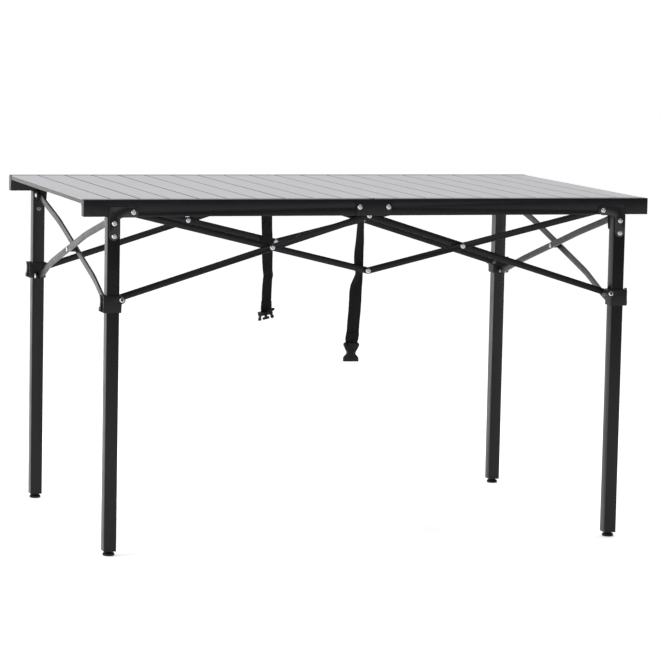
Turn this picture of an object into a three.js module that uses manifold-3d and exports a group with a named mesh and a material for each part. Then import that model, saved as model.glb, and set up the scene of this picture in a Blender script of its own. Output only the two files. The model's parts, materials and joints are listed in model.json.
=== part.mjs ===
// Folding camping table: a roll-up top of twenty aluminium slats on a gather-fold frame.
// Units are millimetres, +Z up. The origin is on the floor under the middle of the top.
// Left is -X, right is +X, front is -Y and back is +Y.
import * as THREE from 'three';
import { mergeVertices } from 'three/addons/utils/BufferGeometryUtils.js';
import Module from 'manifold-3d';

const wasm = await Module();
wasm.setup();

// ---- driving dimensions ----
const TABLE_LENGTH = 1180;
const TABLE_DEPTH = 700;
const TABLE_HEIGHT = 700;

const SLAT_COUNT = 20;
const SLAT_GAP = 2.2;
const SLAT_EDGE = 1.8;
const SLAT_THICK = 9.2;
const SLAT_END_GAP = 2.5;
const SLAT_WALL = 1;

const RAIL_THICK = 20;
const RAIL_HEIGHT = 33;
const RAIL_WALL = 1.5;
const RAIL_STUB_PAST_CENTRE_PIN = 25;
const LEDGE_WIDTH = 4.5;
const LEDGE_THICK = 3.4;
const LEDGE_GAP = 0.2;

const LEG_SIZE = 25;
const LEG_WALL = 1.2;
const LEG_AXIS_X = 529.5;
const LEG_TOP = 666;
const LEG_BOTTOM = 9;
const LEG_PLUG_HEIGHT = 18;

const RAIL_PIN_X = 491.5;
const RAIL_PIN_Z = 675.5;
const CENTRE_PIN_X = 30;
const CENTRE_PIN_Z = 684;
const PIN_RADIUS = 2.7;
const PIN_HOLE_RADIUS = 3.1;

const PLATE_THICK = 2.1;
const GAP = 0.3;

// Long scissor bars: the low bar starts at the slider, the high bar at the leg top.
const BAR_WIDTH = 13.2;
const BAR_THICK = 3;
const SLIDER_PIN_X = 513;
const SLIDER_PIN_Z = 505;
const LONG_BAR_TO_CROSS = 327.5;
const LOW_BAR_ANGLE = 17.3;
const HIGH_BAR_ANGLE = 13.5;
const OUTER_PLANE_Y = [319.7, 322.7];
const INNER_PLANE_Y = [316.3, 319.3];
const EAR_FACE_Y = 323.2;
const EAR_THICK = 2;

// End bars cross the short side between the front and back legs.
const END_PIN_Y = 315.75;
const END_PIN_HIGH_Z = 658.9;
const END_PIN_LOW_Z = 485;
const END_BAR_THICK = 4.4;
const END_BAR_PIVOT_X = 528.8;
const END_EAR_X = [535.5, 537.5];
const END_BAR_BOW = { outer: 11, inner: -7 };
const END_BAR_STRAIGHT = 0.42;
const END_BAR_BEND = 0.94;

const SLIDER_Z = [480, 513];
const SLIDER_CLEARANCE = 0.4;
const SLIDER_OUTER_CLEARANCE = 4.7;
const SLIDER_OUTER_WALL = 2.5;
const SLIDER_WALL = 3;
const SLIDER_FRONT_WALL = 3.5;
const SLIDER_EAR_RADIUS = 7.5;

const LEVER_WIDTH = 10;
const LEVER_PIVOT_Z = 485.5;
const LEVER_PIVOT_OUT = 2.6;
const LEVER_PIN_RADIUS = 1.2;
const LEVER_GAP = 0.8;
const LEVER_NOSE = 2.4;
const LUG_THICK = 2.2;
const LUG_GAP = 0.4;

const FOOT_PAD_RADIUS = 12;
const FOOT_PAD_HEIGHT = 6.2;
const FOOT_NUT_RADIUS = 7.2;
const FOOT_THREAD_RADIUS = 4;
const FOOT_THREAD_TOP = 32;

const STRAP_WIDTH = 25;
const STRAP_THICK = 1.8;
const STRAP_Y = 310;

const ROUND_STEPS = 4;
const PIN_SIDES = 10;
const FOOT_SIDES = 14;
const EAR_SIDES = 14;

// ---- values worked out from them ----
const HALF_LENGTH = TABLE_LENGTH / 2;
const HALF_DEPTH = TABLE_DEPTH / 2;
const RAIL_BOTTOM = TABLE_HEIGHT - RAIL_HEIGHT;
const RAIL_INNER_Y = HALF_DEPTH - RAIL_THICK;
const SLAT_PITCH = TABLE_LENGTH / SLAT_COUNT;
const SLAT_HALF_LENGTH = RAIL_INNER_Y - SLAT_END_GAP;
const SLAT_BOTTOM = TABLE_HEIGHT - SLAT_THICK;
const LEDGE_TOP = SLAT_BOTTOM - LEDGE_GAP;
const LEG_AXIS_Y = HALF_DEPTH - LEG_SIZE / 2;
const LEG_INNER_X = LEG_AXIS_X - LEG_SIZE / 2;
const LEG_OUTER_X = LEG_AXIS_X + LEG_SIZE / 2;
const LEG_INNER_Y = HALF_DEPTH - LEG_SIZE;
const LOW_ANGLE = THREE.MathUtils.degToRad(LOW_BAR_ANGLE);
const HIGH_ANGLE = THREE.MathUtils.degToRad(HIGH_BAR_ANGLE);
const CROSS_X = SLIDER_PIN_X - LONG_BAR_TO_CROSS * Math.cos(LOW_ANGLE);
const CROSS_Z = SLIDER_PIN_Z + LONG_BAR_TO_CROSS * Math.sin(LOW_ANGLE);
const TOP_PIN_X = CROSS_X + LONG_BAR_TO_CROSS * Math.cos(HIGH_ANGLE);
const TOP_PIN_Z = CROSS_Z + LONG_BAR_TO_CROSS * Math.sin(HIGH_ANGLE);
const CENTRE_HIGH_Z = CROSS_Z + CROSS_X * Math.tan(LOW_ANGLE);
const CENTRE_LOW_Z = CROSS_Z - CROSS_X * Math.tan(HIGH_ANGLE);
const SLIDER_OUTER_X = LEG_OUTER_X + SLIDER_OUTER_CLEARANCE + SLIDER_OUTER_WALL;
const END_CROSS_Z = (END_PIN_HIGH_Z + END_PIN_LOW_Z) / 2;

// ---- solids ----
function toSolid(geometry) {
  const bare = geometry.clone();
  bare.deleteAttribute('normal');
  bare.deleteAttribute('uv');
  const merged = mergeVertices(bare, 1e-4);
  return new wasm.Manifold(new wasm.Mesh({
    numProp: 3,
    vertProperties: new Float32Array(merged.attributes.position.array),
    triVerts: new Uint32Array(merged.index.array),
  }));
}

function toGeometry(solid) {
  const mesh = solid.getMesh();
  const geometry = new THREE.BufferGeometry();
  geometry.setAttribute('position', new THREE.BufferAttribute(mesh.vertProperties, 3));
  geometry.setIndex(new THREE.BufferAttribute(mesh.triVerts, 1));
  geometry.computeVertexNormals();
  return geometry;
}

function join(first, ...others) {
  return others.reduce((whole, piece) => whole.add(piece), first);
}

function cut(solid, ...tools) {
  return tools.reduce((rest, tool) => rest.subtract(tool), solid);
}

// A box from two corners, given in any order.
function block([x1, x2], [y1, y2], [z1, z2]) {
  const geometry = new THREE.BoxGeometry(Math.abs(x2 - x1), Math.abs(y2 - y1), Math.abs(z2 - z1));
  geometry.translate((x1 + x2) / 2, (y1 + y2) / 2, (z1 + z2) / 2);
  return toSolid(geometry);
}

// A round pin along one axis from one coordinate to another.
function pin(axis, radius, [from, to], [u, v], sides = PIN_SIDES) {
  const geometry = new THREE.CylinderGeometry(radius, radius, Math.abs(to - from), sides);
  const middle = (from + to) / 2;
  if (axis === 'x') geometry.rotateZ(Math.PI / 2).translate(middle, u, v);
  if (axis === 'y') geometry.translate(u, middle, v);
  if (axis === 'z') geometry.rotateX(Math.PI / 2).translate(u, v, middle);
  return toSolid(geometry);
}

// A flat outline in X and Z, as thick as the given range of Y.
function plateXZ(shape, [y1, y2]) {
  const geometry = new THREE.ExtrudeGeometry(shape, {
    depth: Math.abs(y2 - y1), bevelEnabled: false, curveSegments: ROUND_STEPS,
  });
  geometry.rotateX(Math.PI / 2).translate(0, Math.max(y1, y2), 0);
  return toSolid(geometry);
}

// A flat outline in Y and Z, as thick as the given range of X.
function plateYZ(shape, [x1, x2]) {
  const geometry = new THREE.ExtrudeGeometry(shape, {
    depth: Math.abs(x2 - x1), bevelEnabled: false, curveSegments: ROUND_STEPS,
  });
  const turn = new THREE.Matrix4().makeBasis(
    new THREE.Vector3(0, 1, 0), new THREE.Vector3(0, 0, 1), new THREE.Vector3(1, 0, 0),
  );
  geometry.applyMatrix4(turn).translate(Math.min(x1, x2), 0, 0);
  return toSolid(geometry);
}

// A strip with round ends between two pivots, and a hole in it at each listed point.
function strip(start, end, width, holes = [], holeRadius = PIN_HOLE_RADIUS) {
  const angle = Math.atan2(end[1] - start[1], end[0] - start[0]);
  const shape = new THREE.Shape();
  shape.absarc(start[0], start[1], width / 2, angle + Math.PI / 2, angle + 1.5 * Math.PI, false);
  shape.absarc(end[0], end[1], width / 2, angle - Math.PI / 2, angle + Math.PI / 2, false);
  for (const hole of holes) {
    shape.holes.push(new THREE.Path().absarc(hole[0], hole[1], holeRadius, 0, 2 * Math.PI, true));
  }
  return shape;
}

// ---- materials ----
const blackPaint = { color: 0x1c1c20, roughness: 0.42, metalness: 0.35 };
const slatPaint = { color: 0xc6c4c9, roughness: 0.45, metalness: 0.55 };
const blackPlastic = { color: 0x151517, roughness: 0.55, metalness: 0 };
const webbing = { color: 0x101012, roughness: 0.9, metalness: 0 };

const table = new THREE.Group();

function addPart(name, solid, look) {
  const mesh = new THREE.Mesh(toGeometry(solid), new THREE.MeshStandardMaterial(look));
  mesh.name = name;
  table.add(mesh);
}

// ---- the roll-up top ----
// A slat is a flat tube with a middle web, rounded along its two upper edges.
function slat(index) {
  const left = -HALF_LENGTH + index * SLAT_PITCH + SLAT_GAP / 2;
  const width = SLAT_PITCH - SLAT_GAP;
  const outline = new THREE.Shape();
  outline.moveTo(left, SLAT_BOTTOM);
  outline.lineTo(left + width, SLAT_BOTTOM);
  outline.lineTo(left + width, TABLE_HEIGHT - SLAT_EDGE);
  outline.quadraticCurveTo(left + width, TABLE_HEIGHT, left + width - SLAT_EDGE, TABLE_HEIGHT);
  outline.lineTo(left + SLAT_EDGE, TABLE_HEIGHT);
  outline.quadraticCurveTo(left, TABLE_HEIGHT, left, TABLE_HEIGHT - SLAT_EDGE);
  const chamber = (width - 3 * SLAT_WALL) / 2;
  const chambers = [left + SLAT_WALL, left + 2 * SLAT_WALL + chamber].map((start) => block(
    [start, start + chamber],
    [-SLAT_HALF_LENGTH - 1, SLAT_HALF_LENGTH + 1],
    [SLAT_BOTTOM + SLAT_WALL, TABLE_HEIGHT - SLAT_WALL],
  ));
  return cut(plateXZ(outline, [-SLAT_HALF_LENGTH, SLAT_HALF_LENGTH]), ...chambers);
}

for (let index = 0; index < SLAT_COUNT; index++) {
  addPart(`slat_${String(index + 1).padStart(2, '0')}`, slat(index), slatPaint);
}

// ---- side rails, each hinged to a leg and to the centre bracket ----
function halfRail(side, face) {
  const inner = side * (CENTRE_PIN_X - RAIL_STUB_PAST_CENTRE_PIN);
  const outer = side * HALF_LENGTH;
  const outside = face * HALF_DEPTH;
  const inside = face * RAIL_INNER_Y;
  const body = block([inner, outer], [inside, outside], [RAIL_BOTTOM, TABLE_HEIGHT]);
  const ledge = block(
    [inner, outer],
    [inside + face * 0.5, inside - face * LEDGE_WIDTH],
    [LEDGE_TOP - LEDGE_THICK, LEDGE_TOP],
  );
  const hollow = block(
    [inner - side, outer - side * RAIL_WALL],
    [inside + face * RAIL_WALL, outside - face * RAIL_WALL],
    [RAIL_BOTTOM + RAIL_WALL, TABLE_HEIGHT - RAIL_WALL],
  );
  const through = [inside - face, outside + face];
  return cut(
    join(body, ledge),
    hollow,
    pin('y', PIN_HOLE_RADIUS, through, [side * RAIL_PIN_X, RAIL_PIN_Z]),
    pin('y', PIN_HOLE_RADIUS, through, [side * CENTRE_PIN_X, CENTRE_PIN_Z]),
  );
}

// The centre bracket is one plate over both rail ends, with a pin through each of them.
function centreBracket(face) {
  const halfWidth = 37;
  const plate = block(
    [-halfWidth, halfWidth],
    [face * (HALF_DEPTH + GAP), face * (HALF_DEPTH + GAP + PLATE_THICK)],
    [RAIL_BOTTOM + 0.3, TABLE_HEIGHT - 0.6],
  );
  const reach = [face * (HALF_DEPTH + GAP + 0.5), face * (RAIL_INNER_Y + 0.3)];
  const pins = [-1, 1].map((side) => pin('y', PIN_RADIUS, reach, [side * CENTRE_PIN_X, CENTRE_PIN_Z]));
  return join(plate, ...pins);
}

// ---- corner plate: an L screwed to the leg, whose arm carries the rail's pivot pin ----
function cornerPlate(side, face) {
  const halfArm = 10.3;
  const top = 686;
  const shape = new THREE.Shape();
  const x = (value) => side * value;
  const legLeft = LEG_AXIS_X + halfArm;
  const legRight = LEG_AXIS_X - halfArm;
  const bottomCentre = 630.8;
  const armBottom = top - 2 * halfArm;
  const corner = 5;
  const fillet = 9;
  shape.moveTo(x(legLeft), bottomCentre);
  shape.lineTo(x(legLeft), top - corner);
  shape.quadraticCurveTo(x(legLeft), top, x(legLeft - corner), top);
  shape.lineTo(x(RAIL_PIN_X), top);
  if (side < 0) {
    shape.absarc(x(RAIL_PIN_X), top - halfArm, halfArm, Math.PI / 2, -Math.PI / 2, true);
  } else {
    shape.absarc(x(RAIL_PIN_X), top - halfArm, halfArm, Math.PI / 2, 1.5 * Math.PI, false);
  }
  shape.lineTo(x(legRight - fillet), armBottom);
  shape.quadraticCurveTo(x(legRight), armBottom, x(legRight), armBottom - fillet);
  shape.lineTo(x(legRight), bottomCentre);
  if (side < 0) {
    shape.absarc(x(LEG_AXIS_X), bottomCentre, halfArm, 0, -Math.PI, true);
  } else {
    shape.absarc(x(LEG_AXIS_X), bottomCentre, halfArm, Math.PI, 2 * Math.PI, false);
  }
  const plate = plateXZ(shape, [face * (HALF_DEPTH + GAP), face * (HALF_DEPTH + GAP + PLATE_THICK)]);
  const reach = [face * (HALF_DEPTH + GAP + 0.5), face * (RAIL_INNER_Y + 0.3)];
  return join(plate, pin('y', PIN_RADIUS, reach, [x(RAIL_PIN_X), RAIL_PIN_Z]));
}

// ---- leg: a square tube with a threaded bottom plug and the ears of its top fitting ----
function leg(side, face) {
  const x = (value) => side * value;
  const y = (value) => face * value;
  const tube = block([x(LEG_INNER_X), x(LEG_OUTER_X)], [y(LEG_INNER_Y), y(HALF_DEPTH)], [LEG_BOTTOM, LEG_TOP]);
  const longEar = plateXZ(
    strip([x(TOP_PIN_X), TOP_PIN_Z], [x(TOP_PIN_X + 3), 640], 15, [[x(TOP_PIN_X), TOP_PIN_Z]]),
    [y(EAR_FACE_Y), y(EAR_FACE_Y + EAR_THICK)],
  );
  const endEar = plateYZ(
    strip([y(END_PIN_Y), END_PIN_HIGH_Z], [y(LEG_INNER_Y + 2), END_PIN_HIGH_Z - 6], 15.4, [[y(END_PIN_Y), END_PIN_HIGH_Z]]),
    [x(END_EAR_X[0]), x(END_EAR_X[1])],
  );
  const hollow = block(
    [x(LEG_INNER_X + LEG_WALL), x(LEG_OUTER_X - LEG_WALL)],
    [y(LEG_INNER_Y + LEG_WALL), y(HALF_DEPTH - LEG_WALL)],
    [LEG_BOTTOM + LEG_PLUG_HEIGHT, LEG_TOP + 1],
  );
  const thread = pin('z', FOOT_THREAD_RADIUS + 0.4, [LEG_BOTTOM - 1, 40], [x(LEG_AXIS_X), y(LEG_AXIS_Y)]);
  const latchHole = pin('x', 3, [x(LEG_OUTER_X + 1), x(LEG_OUTER_X - 4)], [y(LEG_AXIS_Y), 500]);
  return cut(join(tube, longEar, endEar), hollow, thread, latchHole);
}

// ---- screw-in foot: pad, nut and thread ----
function foot(side, face) {
  const centre = [side * LEG_AXIS_X, face * LEG_AXIS_Y];
  const profile = [
    [0, 0], [FOOT_PAD_RADIUS - 1, 0], [FOOT_PAD_RADIUS, 1], [FOOT_PAD_RADIUS, 4.4],
    [FOOT_PAD_RADIUS - 2, FOOT_PAD_HEIGHT], [FOOT_NUT_RADIUS, FOOT_PAD_HEIGHT],
    [FOOT_NUT_RADIUS, LEG_BOTTOM - 0.4], [FOOT_THREAD_RADIUS, LEG_BOTTOM - 0.4],
    [FOOT_THREAD_RADIUS, FOOT_THREAD_TOP], [0, FOOT_THREAD_TOP],
  ].map(([radius, height]) => new THREE.Vector2(radius, height));
  const geometry = new THREE.LatheGeometry(profile, FOOT_SIDES);
  geometry.rotateX(Math.PI / 2).translate(centre[0], centre[1], 0);
  return toSolid(geometry);
}

// ---- slider: a collar round the leg, with an ear for the low bar and one for the end bar ----
function slider(side, face) {
  const x = (value) => side * value;
  const y = (value) => face * value;
  const bore = {
    x: [x(LEG_INNER_X - SLIDER_CLEARANCE), x(LEG_OUTER_X + SLIDER_OUTER_CLEARANCE)],
    y: [y(LEG_INNER_Y - SLIDER_CLEARANCE), y(HALF_DEPTH + SLIDER_CLEARANCE)],
  };
  const collar = block(
    [x(LEG_INNER_X - SLIDER_CLEARANCE - SLIDER_WALL), x(SLIDER_OUTER_X)],
    [y(EAR_FACE_Y), y(HALF_DEPTH + SLIDER_CLEARANCE + SLIDER_FRONT_WALL)],
    SLIDER_Z,
  );
  const longEar = pin(
    'y', SLIDER_EAR_RADIUS, [y(EAR_FACE_Y), y(HALF_DEPTH + SLIDER_CLEARANCE + SLIDER_FRONT_WALL)],
    [x(SLIDER_PIN_X), SLIDER_PIN_Z], EAR_SIDES,
  );
  const endEar = plateYZ(
    strip([y(END_PIN_Y), END_PIN_LOW_Z], [y(EAR_FACE_Y), END_PIN_LOW_Z + 1], 13),
    [x(END_EAR_X[0]), x(END_EAR_X[1])],
  );
  const boreBlock = block(bore.x, bore.y, [SLIDER_Z[0] - 1, SLIDER_Z[1] + 1]);
  const endHole = pin('x', PIN_HOLE_RADIUS, [x(END_EAR_X[0] - 1), x(END_EAR_X[1] + 1)], [y(END_PIN_Y), END_PIN_LOW_Z]);
  const longHole = pin(
    'y', PIN_HOLE_RADIUS, [y(EAR_FACE_Y - 1), y(HALF_DEPTH + 6)], [x(SLIDER_PIN_X), SLIDER_PIN_Z],
  );
  const window = block(
    [x(LEG_OUTER_X + 1), x(SLIDER_OUTER_X + 1)],
    [y(LEG_AXIS_Y - LEVER_WIDTH / 2 - 1), y(LEG_AXIS_Y + LEVER_WIDTH / 2 + 1)],
    [494, 506],
  );
  const lugs = [-1, 1].map((way) => block(
    [x(SLIDER_OUTER_X - 1), x(SLIDER_OUTER_X + 4.4)],
    [y(LEG_AXIS_Y + way * (LEVER_WIDTH / 2 + LUG_GAP)), y(LEG_AXIS_Y + way * (LEVER_WIDTH / 2 + LUG_GAP + LUG_THICK))],
    [LEVER_PIVOT_Z - 4, LEVER_PIVOT_Z + 4],
  ));
  const lugHole = pin(
    'y', LEVER_PIN_RADIUS + 0.4, [y(LEG_AXIS_Y - LEVER_WIDTH), y(LEG_AXIS_Y + LEVER_WIDTH)],
    [x(SLIDER_OUTER_X + LEVER_PIVOT_OUT), LEVER_PIVOT_Z],
  );
  return cut(join(collar, longEar, endEar, ...lugs), boreBlock, endHole, longHole, window, lugHole);
}

// ---- latch lever: pivots between two lugs on the slider's outer face, flares out at the thumb ----
function lever(side, face) {
  const x = (value) => side * (SLIDER_OUTER_X + value);
  const y = (value) => face * (LEG_AXIS_Y + value);
  const shape = new THREE.Shape();
  shape.moveTo(x(LEVER_GAP), LEVER_PIVOT_Z - 2);
  shape.lineTo(x(LEVER_GAP), 496);
  shape.lineTo(x(-LEVER_NOSE), 497);
  shape.lineTo(x(-LEVER_NOSE), 503);
  shape.lineTo(x(LEVER_GAP), 504);
  shape.lineTo(x(LEVER_GAP + 1), 513.5);
  shape.lineTo(x(4.4), 515);
  shape.quadraticCurveTo(x(2.6), 509, x(2.6), 502);
  shape.quadraticCurveTo(x(2.8), 492, x(4.1), LEVER_PIVOT_Z + 1);
  shape.quadraticCurveTo(x(4.1), LEVER_PIVOT_Z - 2.5, x(LEVER_GAP), LEVER_PIVOT_Z - 2);
  const body = plateXZ(shape, [y(-LEVER_WIDTH / 2), y(LEVER_WIDTH / 2)]);
  const reach = LEVER_WIDTH / 2 + LUG_THICK;
  return join(body, pin('y', LEVER_PIN_RADIUS, [y(-reach), y(reach)], [x(LEVER_PIVOT_OUT), LEVER_PIVOT_Z]));
}

// ---- long scissor bars ----
// The low bar runs from the slider up to the centre, the high bar from the leg top down to it.
// A pin on the inner bar of each pair turns in the hole of the outer bar where they cross.
function longBar(side, face, low, plane) {
  const x = (value) => side * value;
  const y = (value) => face * value;
  const outer = plane === OUTER_PLANE_Y;
  const pivot = low ? [x(SLIDER_PIN_X), SLIDER_PIN_Z] : [x(TOP_PIN_X), TOP_PIN_Z];
  const centre = [0, low ? CENTRE_HIGH_Z : CENTRE_LOW_Z];
  const cross = [x(CROSS_X), CROSS_Z];
  const bar = plateXZ(strip(pivot, centre, BAR_WIDTH, outer ? [cross] : []), [y(plane[0]), y(plane[1])]);
  const pinEnd = low ? HALF_DEPTH + 5 : EAR_FACE_Y + EAR_THICK;
  const pivotPin = pin('y', PIN_RADIUS, [y(plane[1] - 0.5), y(pinEnd)], pivot);
  const pieces = [pivotPin];
  if (!outer) {
    pieces.push(pin('y', PIN_RADIUS + 2, [y(plane[1] - 0.5), y(EAR_FACE_Y - GAP)], pivot));
    pieces.push(pin('y', PIN_RADIUS, [y(plane[1] - 0.5), y(OUTER_PLANE_Y[1] + 0.2)], cross));
  }
  return join(bar, ...pieces);
}

// ---- end bars ----
// Each is bent sideways between its pivots so that the two pass side by side where they cross.
// The two ends match when the table is turned half round: the left outer bar starts high at the front.
function endBar(side, kind) {
  const x = (value) => side * value;
  const rise = kind === 'outer' ? -side : side;
  const low = [rise * END_PIN_Y, END_PIN_LOW_Z];
  const high = [-rise * END_PIN_Y, END_PIN_HIGH_Z];
  const half = Math.hypot(high[0] - low[0], high[1] - low[1]) / 2;
  const bow = END_BAR_BOW[kind];
  const steps = 8;
  const offsets = [[-half - BAR_WIDTH, 0]];
  const bend = (share) => (1 - Math.cos(Math.PI * share)) / 2;
  for (let step = 0; step <= steps; step++) {
    const place = END_BAR_BEND - (END_BAR_BEND - END_BAR_STRAIGHT) * (step / steps);
    offsets.push([-half * place, bow * bend(step / steps)]);
  }
  const centreLine = [...offsets, ...offsets.map(([u, w]) => [-u, w]).reverse()];
  const edgeAt = (offset) => centreLine.map(([u, w]) => [u, END_BAR_PIVOT_X + w + offset]);
  const outline = [...edgeAt(-END_BAR_THICK / 2), ...edgeAt(END_BAR_THICK / 2).reverse()];
  const profile = new THREE.Shape(outline.map(([u, w]) => new THREE.Vector2(x(w), u)));
  const sheet = new THREE.ExtrudeGeometry(profile, { depth: BAR_WIDTH, bevelEnabled: false });
  sheet.translate(0, 0, -BAR_WIDTH / 2);
  sheet.rotateX(Math.atan2(high[1] - low[1], high[0] - low[0]));
  sheet.translate(0, 0, END_CROSS_Z);
  const reach = [x(END_BAR_PIVOT_X - 25), x(END_BAR_PIVOT_X + 15)];
  const outlineSolid = plateYZ(strip(low, high, BAR_WIDTH), reach);
  const pins = [low, high].map((end) => pin('x', PIN_RADIUS, [x(END_BAR_PIVOT_X), x(END_EAR_X[1] + GAP)], end));
  const bar = join(toSolid(sheet).intersect(outlineSolid), ...pins);
  const crossing = [0, END_CROSS_Z];
  const outerMiddle = END_BAR_PIVOT_X + END_BAR_BOW.outer;
  const innerMiddle = END_BAR_PIVOT_X + END_BAR_BOW.inner;
  if (kind === 'outer') {
    return cut(bar, pin('x', PIN_HOLE_RADIUS, [x(outerMiddle - 4), x(outerMiddle + 4)], crossing));
  }
  return join(
    bar,
    pin('x', 5.5, [x(innerMiddle), x(outerMiddle - END_BAR_THICK / 2 - GAP)], crossing),
    pin('x', PIN_RADIUS, [x(innerMiddle), x(outerMiddle + END_BAR_THICK / 2 + 0.2)], crossing),
  );
}

// ---- strap: flat webbing that hangs behind the middle of each scissor ----
function strap(face, line) {
  const left = line.map(([x, z]) => new THREE.Vector2(x - STRAP_WIDTH / 2, z));
  const right = line.map(([x, z]) => new THREE.Vector2(x + STRAP_WIDTH / 2, z)).reverse();
  return plateXZ(new THREE.Shape([...left, ...right]), [face * STRAP_Y, face * (STRAP_Y + STRAP_THICK)]);
}

const sides = { left: -1, right: 1 };
const faces = { front: -1, back: 1 };

for (const [faceName, face] of Object.entries(faces)) {
  for (const [sideName, side] of Object.entries(sides)) {
    const corner = `${faceName}_${sideName}`;
    const lowPlane = side < 0 ? OUTER_PLANE_Y : INNER_PLANE_Y;
    const highPlane = side < 0 ? INNER_PLANE_Y : OUTER_PLANE_Y;
    addPart(`rail_${corner}`, halfRail(side, face), blackPaint);
    addPart(`leg_${corner}`, leg(side, face), blackPaint);
    addPart(`corner_plate_${corner}`, cornerPlate(side, face), blackPaint);
    addPart(`slider_${corner}`, slider(side, face), blackPlastic);
    addPart(`latch_lever_${corner}`, lever(side, face), blackPlastic);
    addPart(`foot_${corner}`, foot(side, face), blackPlastic);
    addPart(`low_bar_${corner}`, longBar(side, face, true, lowPlane), blackPaint);
    addPart(`high_bar_${corner}`, longBar(side, face, false, highPlane), blackPaint);
  }
  addPart(`centre_bracket_${faceName}`, centreBracket(face), blackPaint);
}

for (const [sideName, side] of Object.entries(sides)) {
  addPart(`end_bar_outer_${sideName}`, endBar(side, 'outer'), blackPaint);
  addPart(`end_bar_inner_${sideName}`, endBar(side, 'inner'), blackPaint);
}

addPart('strap_front', strap(-1, [[-15, 656], [-18, 600], [-24, 540], [-28, 480], [-31, 424]]), webbing);
addPart('strap_back', strap(1, [[-18, 656], [-19, 600], [-18, 540], [-17, 480], [-17, 400]]), webbing);

export default table;
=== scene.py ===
import json
import math

import bmesh
import bpy
from mathutils import Matrix, Vector


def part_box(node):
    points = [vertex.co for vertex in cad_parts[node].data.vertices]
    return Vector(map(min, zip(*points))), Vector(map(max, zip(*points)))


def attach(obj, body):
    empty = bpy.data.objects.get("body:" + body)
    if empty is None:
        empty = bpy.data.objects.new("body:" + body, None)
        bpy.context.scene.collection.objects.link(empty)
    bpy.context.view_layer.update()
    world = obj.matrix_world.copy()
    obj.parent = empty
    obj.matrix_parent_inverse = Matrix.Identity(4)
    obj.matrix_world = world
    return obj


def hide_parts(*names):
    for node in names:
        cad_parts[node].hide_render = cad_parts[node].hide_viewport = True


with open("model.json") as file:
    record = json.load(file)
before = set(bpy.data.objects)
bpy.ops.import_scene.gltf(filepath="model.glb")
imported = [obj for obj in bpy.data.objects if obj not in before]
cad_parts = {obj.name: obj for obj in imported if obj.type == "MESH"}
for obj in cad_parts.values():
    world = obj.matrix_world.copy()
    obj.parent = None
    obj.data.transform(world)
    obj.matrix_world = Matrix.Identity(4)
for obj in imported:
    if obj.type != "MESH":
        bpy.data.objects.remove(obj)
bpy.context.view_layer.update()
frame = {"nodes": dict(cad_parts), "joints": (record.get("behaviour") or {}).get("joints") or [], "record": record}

MM = 0.001
# Turns a flat outline upright: its Y points up and its depth points to the front.
UPRIGHT = Matrix.Rotation(math.radians(90), 4, "X")

CORNERS = [("front", "left"), ("front", "right"), ("back", "left"), ("back", "right")]
SIDE = {"left": -1, "right": 1}
FACE = {"front": -1, "back": 1}
SLATS = [f"slat_{number:02d}" for number in range(1, 21)]
NODE_BODY = {node: body for body, nodes in frame["record"]["behaviour"]["bodies"].items() for node in nodes}
JOINT_AT = {joint["name"]: Vector(joint.get("pos_m", (0, 0, 0))) for joint in frame["joints"]}


# ---- camera ----
def add_camera():
    place = Vector((-1.9462, -6.1182, 1.1515))
    azimuth, elevation, roll = (math.radians(angle) for angle in (17.87, -6.70, 1.195))
    ahead = Vector((
        math.sin(azimuth) * math.cos(elevation), math.cos(azimuth) * math.cos(elevation), math.sin(elevation),
    ))
    level = ahead.cross(Vector((0, 0, 1))).normalized()
    upright = level.cross(ahead)
    right = level * math.cos(roll) + upright * math.sin(roll)
    up = upright * math.cos(roll) - level * math.sin(roll)
    data = bpy.data.cameras.new("camera")
    data.lens = 167.6
    data.sensor_width = 36
    camera = bpy.data.objects.new("camera", data)
    camera.matrix_world = Matrix.Translation(place) @ Matrix((right, up, -ahead)).transposed().to_4x4()
    bpy.context.scene.collection.objects.link(camera)
    bpy.context.scene.camera = camera


# ---- small mesh helpers ----
def mesh_from(bm, name):
    bmesh.ops.recalc_face_normals(bm, faces=bm.faces)
    mesh = bpy.data.meshes.new(name)
    bm.to_mesh(mesh)
    bm.free()
    return mesh


def make_object(name, bm, look, smooth_angle=35):
    mesh = mesh_from(bm, name)
    piece = bpy.data.objects.new(name, mesh)
    bpy.context.scene.collection.objects.link(piece)
    mesh.materials.clear()
    mesh.materials.append(look)
    mesh.shade_smooth()
    mesh.set_sharp_from_angle(angle=math.radians(smooth_angle))
    return piece


def facing(at, direction, spin=0.0):
    """A placement whose local +Z points along direction, from the point at."""
    turn = Vector(direction).to_track_quat("Z", "Y").to_matrix().to_4x4()
    return Matrix.Translation(Vector(at)) @ turn @ Matrix.Rotation(spin, 4, "Z")


def in_metres(points):
    return [(x * MM, y * MM) for x, y in points]


def mirrored(half):
    """A closed outline from its right half, listed from top to bottom."""
    return half + [(-x, y) for x, y in reversed(half)]


def hexagon(angle):
    """How far a hexagon's edge is from its middle, for a flat-to-flat half width of 1."""
    within = (angle + math.pi / 6) % (math.pi / 3) - math.pi / 6
    return 1 / math.cos(within)


def skin(bm, rings):
    """Closes a row of equal rings of vertices into one solid."""
    for first, second in zip(rings, rings[1:]):
        for i in range(len(first)):
            j = (i + 1) % len(first)
            bm.faces.new((first[i], first[j], second[j], second[i]))
    bm.faces.new(rings[0])
    bm.faces.new(list(reversed(rings[-1])))


def lathe(bm, place, profile, steps=24):
    """Turns (radius, height, is_hexagon) rows into a closed round solid, in metres."""
    rings = []
    for radius, height, is_hexagon in profile:
        ring = []
        for step in range(steps):
            angle = 2 * math.pi * step / steps
            reach = radius * (hexagon(angle) if is_hexagon else 1)
            point = Vector((reach * math.cos(angle), reach * math.sin(angle), height))
            ring.append(bm.verts.new(place @ point))
        rings.append(ring)
    skin(bm, rings)


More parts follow.
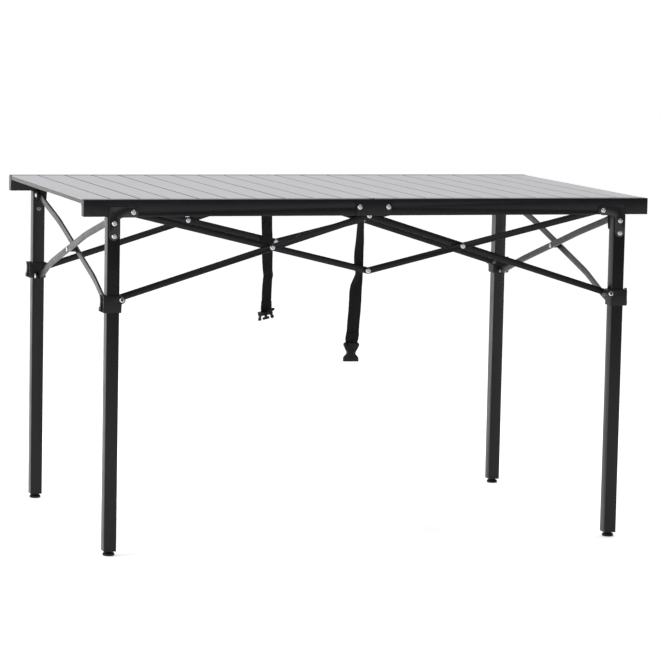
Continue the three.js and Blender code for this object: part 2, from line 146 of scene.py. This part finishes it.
def round_edges(bm, edges, width, clamp):
    bmesh.ops.bevel(
        bm, geom=edges, offset=width, segments=2, profile=0.5, affect="EDGES", clamp_overlap=clamp,
    )


def extruded(bm, outline, low, high, place=Matrix.Identity(4), bevel=0.0):
    """A flat outline in local X and Y, from local Z low to high, with softened edges."""
    bottom = [bm.verts.new(place @ Vector((x, y, low))) for x, y in outline]
    top = [bm.verts.new(place @ Vector((x, y, high))) for x, y in outline]
    ends = [bm.faces.new(list(reversed(bottom))), bm.faces.new(top)]
    for i in range(len(outline)):
        j = (i + 1) % len(outline)
        bm.faces.new((bottom[i], bottom[j], top[j], top[i]))
    if bevel:
        round_edges(bm, list({edge for face in ends for edge in face.edges}), bevel, True)


# ---- materials ----
def new_material(name, colour, roughness, metallic=0.0):
    look = bpy.data.materials.new(name)
    look.use_nodes = True
    nodes, links = look.node_tree.nodes, look.node_tree.links
    shader = nodes["Principled BSDF"]
    shader.inputs["Base Color"].default_value = (*colour, 1)
    shader.inputs["Roughness"].default_value = roughness
    shader.inputs["Metallic"].default_value = metallic
    place = nodes.new("ShaderNodeTexCoord").outputs["Object"]
    return look, nodes, links, shader, place


def noise(nodes, links, place, scale, stretch=(1, 1, 1), detail=3.0):
    mapping = nodes.new("ShaderNodeMapping")
    mapping.inputs["Scale"].default_value = stretch
    links.new(place, mapping.inputs["Vector"])
    texture = nodes.new("ShaderNodeTexNoise")
    texture.inputs["Scale"].default_value = scale
    texture.inputs["Detail"].default_value = detail
    links.new(mapping.outputs["Vector"], texture.inputs["Vector"])
    return texture.outputs["Fac"]


def ramp(nodes, links, value, low, high):
    """Maps a value from 0..1 to low..high, both numbers or both colours."""
    if isinstance(low, tuple):
        mix = nodes.new("ShaderNodeMix")
        mix.data_type = "RGBA"
        mix.inputs[6].default_value = (*low, 1)
        mix.inputs[7].default_value = (*high, 1)
        links.new(value, mix.inputs[0])
        return mix.outputs[2]
    change = nodes.new("ShaderNodeMapRange")
    change.inputs["From Min"].default_value = 0.3
    change.inputs["From Max"].default_value = 0.7
    change.inputs["To Min"].default_value = low
    change.inputs["To Max"].default_value = high
    links.new(value, change.inputs["Value"])
    return change.outputs["Result"]


def vary(nodes, links, shader, socket, value, low, high):
    """Lets one input of the shader run from low to high with a value from 0..1."""
    links.new(ramp(nodes, links, value, low, high), shader.inputs[socket])


def bump(nodes, links, shader, height, strength, distance):
    node = nodes.new("ShaderNodeBump")
    node.inputs["Strength"].default_value = strength
    node.inputs["Distance"].default_value = distance
    links.new(height, node.inputs["Height"])
    links.new(node.outputs["Normal"], shader.inputs["Normal"])


def powder_coat(name="black_powder_coat", shine=0.2):
    look, nodes, links, shader, place = new_material(name, (0.008, 0.008, 0.009), 0.34)
    patches = noise(nodes, links, place, 22)
    vary(nodes, links, shader, "Base Color", patches, (0.007, 0.007, 0.0082), (0.011, 0.011, 0.0125))
    vary(nodes, links, shader, "Roughness", patches, 0.30, 0.40)
    shader.inputs["Specular IOR Level"].default_value = shine
    bump(nodes, links, shader, noise(nodes, links, place, 1100, detail=1.5), 0.12, 0.0004)
    return look


def anodised():
    look, nodes, links, shader, place = new_material("satin_aluminium", (0.34, 0.335, 0.355), 0.46, 0.3)
    streaks = noise(nodes, links, place, 420, (1, 0.012, 1))
    clouds = noise(nodes, links, place, 5)
    vary(nodes, links, shader, "Base Color", clouds, (0.33, 0.322, 0.343), (0.37, 0.363, 0.383))
    vary(nodes, links, shader, "Roughness", streaks, 0.42, 0.54)
    bump(nodes, links, shader, streaks, 0.10, 0.0003)
    return look


def side_strip():
    look, nodes, links, shader, place = new_material("pale_side_strip", (0.12, 0.113, 0.108), 0.6)
    clouds = noise(nodes, links, place, 60)
    vary(nodes, links, shader, "Base Color", clouds, (0.11, 0.104, 0.099), (0.13, 0.122, 0.116))
    vary(nodes, links, shader, "Roughness", clouds, 0.55, 0.7)
    shader.inputs["Specular IOR Level"].default_value = 0.2
    return look


def moulded():
    look, nodes, links, shader, place = new_material("black_plastic", (0.008, 0.008, 0.009), 0.5)
    grain = noise(nodes, links, place, 1500, detail=2)
    vary(nodes, links, shader, "Base Color", grain, (0.005, 0.005, 0.0056), (0.010, 0.010, 0.011))
    vary(nodes, links, shader, "Roughness", grain, 0.44, 0.6)
    shader.inputs["Specular IOR Level"].default_value = 0.25
    bump(nodes, links, shader, grain, 0.2, 0.0004)
    return look


def dull_steel():
    look, nodes, links, shader, place = new_material("dull_steel", (0.16, 0.16, 0.165), 0.45, 1.0)
    cloudy = noise(nodes, links, place, 500)
    vary(nodes, links, shader, "Base Color", cloudy, (0.12, 0.12, 0.125), (0.20, 0.20, 0.205))
    vary(nodes, links, shader, "Roughness", cloudy, 0.38, 0.52)
    return look


def zinc():
    look, nodes, links, shader, place = new_material("bright_zinc", (0.56, 0.57, 0.59), 0.3, 1.0)
    cloudy = noise(nodes, links, place, 500)
    vary(nodes, links, shader, "Base Color", cloudy, (0.48, 0.49, 0.51), (0.62, 0.63, 0.66))
    vary(nodes, links, shader, "Roughness", cloudy, 0.18, 0.34)
    bump(nodes, links, shader, cloudy, 0.08, 0.0002)
    return look


def woven():
    look, nodes, links, shader, place = new_material("black_webbing", (0.005, 0.005, 0.006), 0.8)
    shader.inputs["Sheen Weight"].default_value = 0.06
    shader.inputs["Specular IOR Level"].default_value = 0.2
    shader.inputs["Sheen Roughness"].default_value = 0.4
    fibres = noise(nodes, links, place, 2600, (1, 1, 0.25))
    vary(nodes, links, shader, "Base Color", fibres, (0.003, 0.003, 0.0036), (0.008, 0.008, 0.009))
    vary(nodes, links, shader, "Roughness", fibres, 0.7, 0.9)
    bump(nodes, links, shader, fibres, 0.4, 0.0003)
    return look


# ---- straps ----
STRAP_WIDTH = 0.025
STRAP_THICK = 0.0018
STRAP_PLANE_Y = 0.311
# Each strap's centreline, as (X, depth from the strap plane, Z, twist in degrees), in millimetres.
FRONT_STRAP = [
    (-14, 0, 660, 42), (-14, 0, 650, 40), (-14.5, 0, 636, 38), (-15.4, 1, 613, 31), (-16.6, 1, 596, 26),
    (-17, 1, 580, 24), (-16.5, 1, 562, 27), (-15.4, 0, 549, 36), (-18.1, 0, 535, 20), (-20.4, -1, 523, 2),
    (-21.6, -1, 510, -10), (-22.2, 0, 498, -14), (-23.1, 0, 475, -14), (-24.8, 0, 452, -12),
    (-26.2, 0, 428, -12), (-27.4, 0, 418, -12), (-28.5, 0, 405, -12),
]
BACK_STRAP = [
    (-24.5, 0, 660, 0), (-24.5, 0, 640, 0), (-24.1, 0, 611, 2), (-23.1, 0, 582, 6), (-22.2, 0, 567, 5),
    (-21.5, 0, 546, 4), (-21.3, 0, 528, 4), (-20.6, 1, 511, 9), (-19.5, 1, 491, 16), (-17.8, 2, 481, 15),
    (-19.5, 1, 471, 19), (-20.8, 0, 453, 16), (-21.3, 0, 436, 16), (-21.6, 0, 412, 14), (-21.9, 0, 400, 4),
]


def smooth_route(points, per_gap=6):
    """Catmull-Rom points through a given list of rows."""
    rows = [Vector(row) for row in points]
    padded = [rows[0] * 2 - rows[1], *rows, rows[-1] * 2 - rows[-2]]
    route = []
    for before, start, end, after in zip(padded, padded[1:], padded[2:], padded[3:]):
        for step in range(per_gap):
            t = step / per_gap
            route.append(0.5 * (
                start * 2 + (end - before) * t
                + (before * 2 - start * 5 + end * 4 - after) * t ** 2
                + (start * 3 - before - end * 3 + after) * t ** 3
            ))
    route.append(rows[-1])
    return route


def strap_axes(row, face):
    """A strap row's centre, the direction across the webbing, and the direction out of its face."""
    x, depth, z, twist = row
    angle = math.radians(twist)
    centre = Vector((x * MM, face * (STRAP_PLANE_Y + depth * MM), z * MM))
    across = Vector((math.cos(angle), math.sin(angle), 0))
    out = Vector((-math.sin(angle), math.cos(angle), 0))
    return centre, across, out


def ribbon(name, rows, face, look, ribs=13, bow=0.0008):
    """Flat webbing with woven ribs along a route of (x, depth, z, twist) rows."""
    groove = 0.00018
    bm = bmesh.new()
    centres, sections = [], []
    for row in rows:
        centre, across, out = strap_axes(row, face)
        centres.append(centre)
        section = []
        columns = ribs * 2
        for way in (1, -1):
            for column in range(columns + 1):
                share = column / columns if way > 0 else 1 - column / columns
                rib = 0.5 + 0.5 * math.cos(2 * math.pi * share * ribs)
                picks = 0.5 + 0.5 * math.cos(math.pi * (len(sections) + column))
                edge = min(1.0, 6 * min(share, 1 - share))
                half = STRAP_THICK / 2 * (0.55 + 0.45 * edge) - groove * rib * picks
                lift = way * half + bow * (1 - (2 * share - 1) ** 2)
                section.append(bm.verts.new(centre + across * (share - 0.5) * STRAP_WIDTH + out * lift))
        sections.append(section)
    skin(bm, sections)
    return make_object(name, bm, look, 60), centres


def keeper(name, look, rows, face):
    """The strap's sewn fold above the buckle: a short second layer wrapped round the webbing."""
    half_width, half_thick, steps = 0.0134, 0.0024, 20
    bm = bmesh.new()
    sections = []
    for row in rows:
        centre, across, out = strap_axes(row, face)
        section = []
        for step in range(steps):
            turn = 2 * math.pi * step / steps
            u = abs(math.cos(turn)) ** 0.25 * math.copysign(1, math.cos(turn)) * half_width
            w = abs(math.sin(turn)) ** 0.6 * math.copysign(1, math.sin(turn)) * half_thick
            section.append(bm.verts.new(centre + across * u + out * w))
        sections.append(section)
    skin(bm, sections)
    return make_object(name, bm, look, 60)


def strap_tail(look, at):
    """The free end of the back strap, folded out to one side above the buckle."""
    bm = bmesh.new()
    outline = [(0, 3), (12.5, 3.5), (15.5, 2.6), (14, -1.5), (8, -5), (1, -7)]
    half_thick = STRAP_THICK / 2
    extruded(bm, in_metres(outline), -half_thick, half_thick, Matrix.Translation(at) @ UPRIGHT, 0.3 * MM)
    return make_object("strap_tail_back", bm, look)


# ---- buckle ----
def female_buckle(look, top):
    """The socket half of a side-release buckle, hanging from its strap bar."""
    half_thick, rib_reach = 4.4 * MM, 5.0 * MM
    bm = bmesh.new()
    place = Matrix.Translation(top) @ UPRIGHT @ Matrix.Rotation(math.radians(-1), 4, "Z")
    waist = [
        (13.8, 3.5), (15.6, 2), (16, -2), (14.4, -5.5), (11, -9), (8.4, -13), (7.2, -17), (7.6, -20),
        (10.2, -22.5), (14, -24.5), (15.2, -26), (15.8, -33), (15.4, -34.4),
    ]
    extruded(bm, in_metres(mirrored(waist)), -half_thick, half_thick, place, 1.1 * MM)
    rib_root = half_thick - 0.2 * MM
    for side in (-1, 1):
        rib = in_metres([(side * x, y) for x, y in [(3, -7), (5, -8), (5, -24), (3, -26)][::-side]])
        extruded(bm, rib, rib_root, rib_reach, place, 0.3 * MM)
        extruded(bm, rib, -rib_reach, -rib_root, place, 0.3 * MM)
    return make_object("buckle_socket", bm, look)


def male_buckle(look, top):
    """The plug half: a strap bar, two sprung arms and the guide between them, tipped in under the table."""
    base = [(15, 3), (16.5, 1), (16.5, -7), (15, -9)]
    guide = [(3.2, -8), (3.2, -25), (1.6, -28.5)]
    arm = [
        (9.5, -8), (14, -8), (14.5, -18), (17.5, -22), (16.5, -26), (12.5, -29), (10.5, -27), (11.2, -19),
        (9.2, -12),
    ]
    bead_places = [(-15, -24), (-5, -23), (4, -22), (13, -20)]
    bead_radius, bead_thick, bead_back, bead_sides = 3.4, 4.4, -3.6, 10
    turns = [2 * math.pi * corner / bead_sides for corner in range(bead_sides)]
    bead_outline = in_metres([(bead_radius * math.cos(turn), bead_radius * math.sin(turn)) for turn in turns])
    roll, tip, swing = (math.radians(angle) for angle in (-18, 20, -16))
    turned = Matrix.Rotation(roll, 4, "Y") @ Matrix.Rotation(tip, 4, "X") @ Matrix.Rotation(swing, 4, "Z")
    place = Matrix.Translation(top) @ turned
    bm = bmesh.new()
    extruded(bm, in_metres(mirrored(base)), -3.2 * MM, 3.2 * MM, place, 0.9 * MM)
    for side in (-1, 1):
        extruded(bm, in_metres([(side * x, y) for x, y in arm]), -2.4 * MM, 2.4 * MM, place, 0.7 * MM)
    extruded(bm, in_metres(mirrored(guide)), -1.8 * MM, 1.8 * MM, place, 0.6 * MM)
    for x, y in bead_places:
        bead = place @ Matrix.Translation((x * MM, y * MM, bead_back * MM))
        extruded(bm, bead_outline, 0, bead_thick * MM, bead, 1.1 * MM)
    return make_object("buckle_plug", bm, look)


def add_straps(webbing, plastic):
    front_rows, back_rows = smooth_route(FRONT_STRAP), smooth_route(BACK_STRAP)
    front, front_line = ribbon("webbing_front", front_rows, -1, webbing)
    back, back_line = ribbon("webbing_back", back_rows, 1, webbing)
    front_fold = keeper("strap_fold_front", webbing, front_rows[-13:-3:2], -1)
    back_fold = keeper("strap_fold_back", webbing, back_rows[-10:-2:2], 1)
    socket = female_buckle(plastic, front_line[-1])
    plug = male_buckle(plastic, back_line[-1] + Vector((-3, -3, 0)) * MM)
    tail = strap_tail(webbing, back_line[-1] + Vector((4, -2, 6)) * MM)
    for strap, node, body, line, parts in (
        (front, "strap_front", "front_strap", front_line, [front_fold, socket]),
        (back, "strap_back", "back_strap", back_line, [back_fold, plug, tail]),
    ):
        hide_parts(node)
        for piece in (strap, *parts):
            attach(piece, body)


# ---- screws, nuts and rivets ----
def screw_profile(radius, height):
    """A button head with a hexagonal socket and a thin washer face under it."""
    socket = radius * 0.46
    return [(row[0] * MM, row[1] * MM, row[2]) for row in [
        (radius, 0, False), (radius, height * 0.22, False), (radius * 0.95, height * 0.5, False),
        (radius * 0.82, height * 0.8, False), (radius * 0.62, height, False), (socket, height, True),
        (socket * 0.96, height * 0.3, True),
    ]]


def nut_profile(radius, height):
    """A hexagonal nut with a domed end."""
    return [(row[0] * MM, row[1] * MM, row[2]) for row in [
        (radius, 0, False), (radius * 0.87, 0.3, True), (radius * 0.87, height * 0.6, True),
        (radius * 0.7, height * 0.66, False), (radius * 0.62, height * 0.9, False),
        (radius * 0.3, height, False),
    ]]


HEAD, LOW_HEAD, FLAT_HEAD = screw_profile(5.2, 2.8), screw_profile(5.4, 2.0), screw_profile(4.4, 0.5)
NUT, SMALL_NUT = nut_profile(5.0, 4.2), nut_profile(4.2, 2.4)

# How far from the table's middle the faces are that heads and nuts sit on, in metres.
PLATE_FACE_Y = abs(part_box("corner_plate_front_left")[0].y)
SLIDER_FACE_Y = abs(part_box("slider_front_left")[0].y)
BARS_FRONT_Y, BARS_MIDDLE_Y, BARS_BACK_Y = 0.3227, 0.3197, 0.3163
RAIL_BACK_Y = 0.3299
LEG_BACK_Y = 0.325
LEG_AXIS_X = 0.5295
END_EAR_X = 0.5376
END_BAR_BACK_X = 0.5265
# Where each end bar's rivet head sits at the crossing, and which way it faces: 1 is outwards.
END_CROSS_HEAD = {"outer": (0.5420, 1), "inner": (0.5196, -1)}
PLATE_SCREW_Z = (0.654, 0.629)
CENTRE_JOINT_Z = {"high": 0.66478, "low": 0.55430}


def fasteners(name, body, look, items):
    """One piece of several heads or nuts: (profile, point, direction, spin in degrees) rows."""
    bm = bmesh.new()
    for profile, at, direction, spin in items:
        lathe(bm, facing(at, direction, math.radians(spin)), profile)
    piece = make_object(name, bm, look, 32)
    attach(piece, body)


def add_corner_fasteners(look, dull):
    """Screws of each corner plate and slider, and the nuts and rivets of the bars that meet there."""
    rail_pin = JOINT_AT["front_left_rail_pin"]
    for index, (face_name, side_name) in enumerate(CORNERS):
        side, face = SIDE[side_name], FACE[face_name]
        corner = f"{face_name}_{side_name}"
        out, into = (0, face, 0), (0, -face, 0)
        leg_x, rail_x = side * LEG_AXIS_X, side * abs(rail_pin.x)
        spin = 17 * index
        upper, lower = PLATE_SCREW_Z
        fasteners(f"plate_screws_{corner}", f"{corner}_leg", look, [
            (HEAD, (leg_x, face * PLATE_FACE_Y, upper), out, spin),
            (HEAD, (leg_x, face * PLATE_FACE_Y, lower), out, spin + 25),
            (HEAD, (rail_x, face * PLATE_FACE_Y, rail_pin.z), out, spin + 40),
        ])
        fasteners(f"leg_nuts_{corner}", f"{corner}_leg", dull, [
            (SMALL_NUT, (rail_x, face * RAIL_BACK_Y, rail_pin.z), into, spin),
            (NUT, (leg_x, face * LEG_BACK_Y, lower), into, spin + 8),
        ])
        # On the left the low bars lie outside the high ones, and on the right inside them.
        low_back, high_back = (BARS_MIDDLE_Y, BARS_BACK_Y) if side < 0 else (BARS_BACK_Y, BARS_MIDDLE_Y)
        slider_at = JOINT_AT[f"{corner}_slider_pin"]
        fasteners(f"slider_screw_{corner}", f"{corner}_slider", look, [
            (HEAD, (slider_at.x, face * SLIDER_FACE_Y, slider_at.z), out, spin + 10),
        ])
        fasteners(f"slider_pin_nut_{corner}", f"{corner}_low_bar", dull, [
            (SMALL_NUT, (slider_at.x, face * low_back, slider_at.z), into, spin),
        ])
        top_at = JOINT_AT[f"{corner}_high_bar_pin"]
        fasteners(f"top_pin_nut_{corner}", f"{corner}_high_bar", dull, [
            (SMALL_NUT, (top_at.x, face * high_back, top_at.z), into, spin),
        ])
        cross_at = JOINT_AT[f"{corner}_cross_pin"]
        inner_body = f"{corner}_high_bar" if side < 0 else f"{corner}_low_bar"
        fasteners(f"cross_screw_{corner}", inner_body, look, [
            (LOW_HEAD, (cross_at.x, face * BARS_FRONT_Y, cross_at.z), out, spin + 5),
            (LOW_HEAD, (cross_at.x, face * BARS_BACK_Y, cross_at.z), into, spin + 5),
        ])


def add_centre_fasteners(look):
    """Screws of the centre brackets, and of the joints in the middle of each long scissor."""
    pins = [JOINT_AT["rail_fold"], JOINT_AT["front_bracket_right_pin"]]
    for face_name, face in FACE.items():
        out, into = (0, face, 0), (0, -face, 0)
        fasteners(f"bracket_screws_{face_name}", f"{face_name}_bracket", look, [
            (HEAD, (pin.x, face * PLATE_FACE_Y, pin.z), out, 20 + 30 * i) for i, pin in enumerate(pins)
        ])
        for level, outer_body, inner_body in (
            ("high", f"{face_name}_left_low_bar", f"{face_name}_right_low_bar"),
            ("low", f"{face_name}_right_high_bar", f"{face_name}_left_high_bar"),
        ):
            height = CENTRE_JOINT_Z[level]
            fasteners(f"centre_screw_{level}_{face_name}", outer_body, look, [
                (LOW_HEAD, (0, face * BARS_FRONT_Y, height), out, 12),
            ])
            fasteners(f"centre_rivet_{level}_{face_name}", inner_body, look, [
                (LOW_HEAD, (0, face * BARS_BACK_Y, height), into, 12),
            ])


def add_end_bar_fasteners(look):
    """Heads and rivets of the bars that cross at each short end."""
    high_pin, cross = JOINT_AT["left_outer_bar_high_pin"], JOINT_AT["left_end_cross_pin"]
    low_z = 2 * cross.z - high_pin.z
    for side_name, side in SIDE.items():
        for kind, turn in (("outer", -1), ("inner", 1)):
            # The left outer bar and the right inner bar are low at the back and high at the front.
            low_y = side * turn * abs(high_pin.y)
            items = []
            for at_y, height, inner_end in ((low_y, low_z, SMALL_NUT), (-low_y, high_pin.z, FLAT_HEAD)):
                items.append((HEAD, (side * END_EAR_X, at_y, height), (side, 0, 0), 15))
                items.append((inner_end, (side * END_BAR_BACK_X, at_y, height), (-side, 0, 0), 0))
            reach, way = END_CROSS_HEAD[kind]
            items.append((LOW_HEAD, (side * reach, 0, cross.z), (side * way, 0, 0), 8))
            fasteners(f"end_bar_screws_{side_name}_{kind}", f"{side_name}_{kind}_end_bar", look, items)


# ---- slat ends and seams ----
# The seams that stand open a little more than the rest, counted from the left; their strip of painted shade sits
# higher and wider, so they read darker.
OPEN_SEAMS = (2, 4, 7)


def add_slat_caps(look):
    """Plastic caps in both ends of each slat, each with a flange that shows in the gap to the rail."""
    inset, foot, shoulder, crown, flange = (size * MM for size in (1.2, 0.5, 1.4, 0.6, 1.2))
    for node in SLATS:
        low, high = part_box(node)
        left, right = low.x + inset, high.x - inset
        outline = [
            (left, low.z + foot), (right, low.z + foot), (right, high.z - shoulder),
            (right - MM, high.z - crown), (left + MM, high.z - crown), (left, high.z - shoulder),
        ]
        bm = bmesh.new()
        for end in (-1, 1):
            near, far = sorted((-end * high.y, -end * (high.y + flange)))
            extruded(bm, outline, near, far, UPRIGHT, 0.3 * MM)
        cap = make_object(f"caps_{node}", bm, look)
        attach(cap, NODE_BODY[node])


def slat_strip(name, node, across, heights, look):
    """A thin strip as long as a slat, between two places in X and two in Z."""
    (left, right), (bottom, top) = across, heights
    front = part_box(node)[0].y
    outline = [(left, bottom), (right, bottom), (right, top), (left, top)]
    bm = bmesh.new()
    extruded(bm, outline, front, -front, UPRIGHT, 0.2 * MM)
    strip = make_object(name, bm, look)
    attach(strip, NODE_BODY[node])


def add_slat_seams(seam_shade_look, end_look):
    """A black plastic strip in each groove, partly the black joint between the slats and partly painted shade in
    the groove, and the pale strip along the free side of the first and last slat.
    """
    for number, (node, after) in enumerate(zip(SLATS, SLATS[1:]), start=1):
        low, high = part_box(node)
        # Each groove strip is partly painted shade: the higher it sits below the slat tops, the darker the groove
        # reads.
        overlap, depth = (0.8 * MM, 0.18 * MM) if number in OPEN_SEAMS else (0.5 * MM, 0.32 * MM)
        across = (high.x - overlap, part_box(after)[0].x + overlap)
        slat_strip(f"seam_{node}", node, across, (low.z + 0.4 * MM, high.z - depth), seam_shade_look)
    for node, side in ((SLATS[0], -1), (SLATS[-1], 1)):
        low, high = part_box(node)
        face = low.x if side < 0 else high.x
        across = sorted((face - side * 0.2 * MM, face + side * 0.6 * MM))
        heights = (low.z + 0.6 * MM, high.z - 1.6 * MM)
        slat_strip(f"side_strip_{node}", node, across, heights, end_look)


# ---- gussets ----
def add_gussets(look):
    """The folded-over stiffener under each centre bracket, behind the top of the scissor."""
    outline = [(-60, 668), (50, 668), (31, 662.2), (4, 660.8), (-43, 660.2)]
    front_y, back_y = 315.6 * MM, 314.1 * MM
    for face_name, face in FACE.items():
        near, far = sorted((-face * front_y, -face * back_y))
        bm = bmesh.new()
        extruded(bm, in_metres(outline), near, far, UPRIGHT, 0.3 * MM)
        plate = make_object(f"gusset_{face_name}", bm, look)
        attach(plate, f"{face_name}_bracket")


# ---- carried-over CAD nodes ----
def soften(node, look, width):
    """Stands for a CAD node with the same shape and softened edges."""
    bm = bmesh.new()
    bm.from_mesh(frame["nodes"][node].data)
    bmesh.ops.remove_doubles(bm, verts=bm.verts, dist=1e-6)
    bmesh.ops.dissolve_limit(
        bm, angle_limit=math.radians(1), verts=bm.verts, edges=bm.edges, use_dissolve_boundaries=False,
    )
    sharp = [
        edge for edge in bm.edges
        if len(edge.link_faces) == 2 and edge.calc_face_angle(0) > math.radians(50)
        and edge.calc_length() > 3 * width
    ]
    round_edges(bm, sharp, width, False)
    bmesh.ops.triangulate(bm, faces=[face for face in bm.faces if len(face.verts) > 4])
    piece = make_object(f"{node}_finished", bm, look)
    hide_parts(node)
    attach(piece, NODE_BODY[node])


def dress(node, look):
    """Gives a CAD node its material."""
    piece = frame["nodes"][node]
    for slot in piece.material_slots:
        slot.material = look
    if not piece.material_slots:
        piece.data.materials.append(look)


# ---- floor and light ----
FLOOR_RADIUS = 160
# The room is white behind the table and dim behind the camera.
BACK_LIGHT, FRONT_LIGHT = 1.0, 0.12


def add_stage():
    bm = bmesh.new()
    bmesh.ops.create_circle(bm, cap_ends=True, segments=64, radius=FLOOR_RADIUS)
    mesh = mesh_from(bm, "floor")
    for polygon in mesh.polygons:
        if polygon.normal.z < 0:
            polygon.flip()
    floor = bpy.data.objects.new("floor", mesh)
    floor.location.z = -0.0002
    bpy.context.scene.collection.objects.link(floor)
    look, nodes, links, shader, place = new_material("floor_white", (0.93, 0.93, 0.93), 0.9)
    clouds = noise(nodes, links, place, 3)
    vary(nodes, links, shader, "Base Color", clouds, (0.92, 0.92, 0.92), (0.94, 0.94, 0.94))
    shader.inputs["Specular IOR Level"].default_value = 0.1
    shader.inputs["Emission Color"].default_value = (1, 1, 1, 1)
    shader.inputs["Emission Strength"].default_value = 0.45
    floor.data.materials.append(look)


def area_light(name, place, target, size, power, seen=True):
    data = bpy.data.lights.new(name, "AREA")
    data.shape = "RECTANGLE"
    data.size, data.size_y = size
    data.energy = power
    light = bpy.data.objects.new(name, data)
    light.visible_camera = seen
    aim = Vector(target) - Vector(place)
    light.matrix_world = Matrix.Translation(Vector(place)) @ aim.to_track_quat("-Z", "Y").to_matrix().to_4x4()
    bpy.context.scene.collection.objects.link(light)


def add_light():
    world = bpy.data.worlds.new("studio")
    world.use_nodes = True
    nodes, links = world.node_tree.nodes, world.node_tree.links
    nodes["Background"].inputs["Color"].default_value = (1, 1, 1, 1)
    towards = nodes.new("ShaderNodeSeparateXYZ")
    links.new(nodes.new("ShaderNodeTexCoord").outputs["Generated"], towards.inputs["Vector"])
    strength = nodes.new("ShaderNodeMapRange")
    strength.inputs["From Min"].default_value = -0.35
    strength.inputs["From Max"].default_value = 0.25
    strength.inputs["To Min"].default_value = FRONT_LIGHT
    strength.inputs["To Max"].default_value = BACK_LIGHT
    links.new(towards.outputs["Y"], strength.inputs["Value"])
    links.new(strength.outputs["Result"], nodes["Background"].inputs["Strength"])
    bpy.context.scene.world = world
    bpy.context.scene.view_settings.view_transform = "Standard"
    area_light("left_softbox", (-3.2, -0.6, 1.4), (0, 0, 0.5), (2.2, 2.2), 60)
    area_light("top_softbox", (0.2, 0.4, 3.4), (0, 0, 0.6), (3.0, 2.4), 60)
    area_light("back_panel", (-1.9, 2.8, 0.7), (-0.5, 0, 0.5), (1.6, 1.4), 8, False)


def build():
    coat, metal, plastic, bright, cloth = powder_coat(), anodised(), moulded(), zinc(), woven()
    pressed = powder_coat("pressed_plate_coat", 0.5)
    add_straps(cloth, plastic)
    for node in SLATS:
        dress(node, metal)
    for face_name, side_name in CORNERS:
        corner = f"{face_name}_{side_name}"
        for part, width in (("rail", 0.6), ("leg", 0.7), ("low_bar", 0.4), ("high_bar", 0.4)):
            soften(f"{part}_{corner}", coat, width * MM)
        soften(f"corner_plate_{corner}", pressed, 0.8 * MM)
        for part, width in (("slider", 0.6), ("latch_lever", 0.35), ("foot", 0.4)):
            soften(f"{part}_{corner}", plastic, width * MM)
    for face_name in FACE:
        soften(f"centre_bracket_{face_name}", coat, 0.35 * MM)
    for side_name in SIDE:
        for kind in ("outer", "inner"):
            soften(f"end_bar_{kind}_{side_name}", coat, 0.4 * MM)
    dull = dull_steel()
    add_corner_fasteners(bright, dull)
    add_centre_fasteners(bright)
    add_end_bar_fasteners(bright)
    add_slat_caps(plastic)
    add_slat_seams(plastic, side_strip())
    add_gussets(coat)


add_camera()
build()
add_stage()
add_light()
